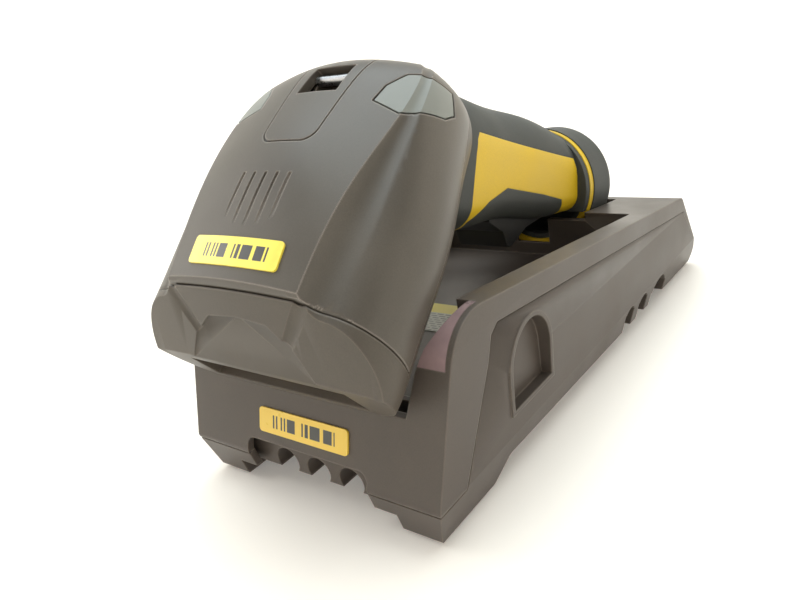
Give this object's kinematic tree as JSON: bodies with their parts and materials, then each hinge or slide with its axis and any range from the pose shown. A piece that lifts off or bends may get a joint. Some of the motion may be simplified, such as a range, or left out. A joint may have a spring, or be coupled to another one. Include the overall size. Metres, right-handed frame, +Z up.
{
  "type": "handheld barcode scanner with charging cradle",
  "caption": "Pistol-grip barcode scanner resting nose-down in its long sloped charging cradle, with yellow grip panels and a rubber spine.",
  "frame": {"origin": "centre of the overall box in plan, on the surface that the cradle's pads stand on", "axes": "+Y from the scanner's nose towards the end of its grip, +Z up, +X towards the object's right side seen from in front of the nose looking along +Y"},
  "size_m": [0.1016, 0.2218, 0.1204],
  "materials": {
    "satin_charcoal_shell": "satin moulded, faint metallic fleck",
    "dark_moulded_plastic": "fine moulded grain",
    "black_rubber_overmould": "matte overmoulded rubber",
    "yellow_moulded_plastic": "satin moulded",
    "yellow_badge_film": "printed film under clear resin",
    "caution_film": "printed film",
    "clear_light_guide": "clear moulded, lightly frosted behind",
    "frosted_status_window": "clear moulded with fine ribs behind",
    "scan_window_glass": "polished, dark tint",
    "black_internal_plastic": "satin moulded",
    "zinc_screw_steel": "zinc plated",
    "gold_plated_contact": "gold plated",
    "green_circuit_board": "solder mask",
    "board_component": "moulded epoxy",
    "white_led_resin": "clear resin",
    "battery_wrap": "shrink film"
  },
  "bodies": {
    "cradle": {"top_cover": "satin_charcoal_shell", "lower_housing": "dark_moulded_plastic", "light_guide_left": "clear_light_guide", "light_guide_right": "clear_light_guide", "cradle_screws": "zinc_screw_steel", "base_badge": "yellow_badge_film", "caution_label": "caution_film", "ballast_plate": "zinc_screw_steel", "base_board": "green_circuit_board", "charge_block": "dark_moulded_plastic", "charge_board": "green_circuit_board", "rubber_pads": "black_rubber_overmould", "power_socket": "black_internal_plastic", "network_socket": "black_internal_plastic"},
    "contact_pins": {"charge_pins": "gold_plated_contact"},
    "trigger": {"trigger": "black_internal_plastic"},
    "switch_button": {"switch_plunger": "black_internal_plastic"},
    "scanner": {"head_shell": "satin_charcoal_shell", "hanger_plate": "satin_charcoal_shell", "head_underside": "dark_moulded_plastic", "nose_bezel": "dark_moulded_plastic", "engine_bracket": "dark_moulded_plastic", "switch_bracket": "dark_moulded_plastic", "grip_spine": "black_rubber_overmould", "end_cap": "black_rubber_overmould", "grip_collar": "black_rubber_overmould", "cap_seal": "black_rubber_overmould", "trigger_surround": "black_rubber_overmould", "grip_shell_left": "yellow_moulded_plastic", "grip_shell_right": "yellow_moulded_plastic", "grip_band": "yellow_moulded_plastic", "head_badge": "yellow_badge_film", "status_light_left": "frosted_status_window", "status_light_right": "frosted_status_window", "scan_window": "scan_window_glass", "lens_glass": "scan_window_glass", "lens_barrel": "black_internal_plastic", "trigger_switch": "black_internal_plastic", "aimer_modules": "black_internal_plastic", "beeper": "black_internal_plastic", "head_screws": "zinc_screw_steel", "cap_screws": "zinc_screw_steel", "trigger_pin": "zinc_screw_steel", "trigger_spring": "zinc_screw_steel", "hanger_bar": "zinc_screw_steel", "contact_pads": "gold_plated_contact", "illumination_board": "green_circuit_board", "image_sensor_board": "green_circuit_board", "main_board": "green_circuit_board", "processor_chip": "board_component", "radio_module": "board_component", "illumination_leds": "white_led_resin", "battery_pack": "battery_wrap"}
  },
  "joints": [
    {"name": "scanner_lift", "type": "slide", "parent": "cradle", "child": "scanner", "axis": [0, 0, 1], "range_m": [0, 0.1]},
    {"name": "trigger_pull", "type": "hinge", "parent": "scanner", "child": "trigger", "pos_m": [0, 0.00169, 0.06272], "axis": [1, 0, 0], "range_deg": [0, 5], "stiffness_Nm_per_rad": 1, "springref_deg": -1.15},
    {"name": "plunger_travel", "type": "slide", "parent": "scanner", "child": "switch_button", "axis": [0, 0.1736, 0.9848], "range_m": [0, 0.002]},
    {"name": "pin_travel", "type": "slide", "parent": "cradle", "child": "contact_pins", "axis": [0, -0.1736, -0.9848], "range_m": [0, 0.001], "stiffness_N_per_m": 300, "springref_m": -0.0005}
  ],
  "couplings": [
    {"joint": "plunger_travel", "follows": "trigger_pull", "m_per_rad": 0.0225}
  ]
}
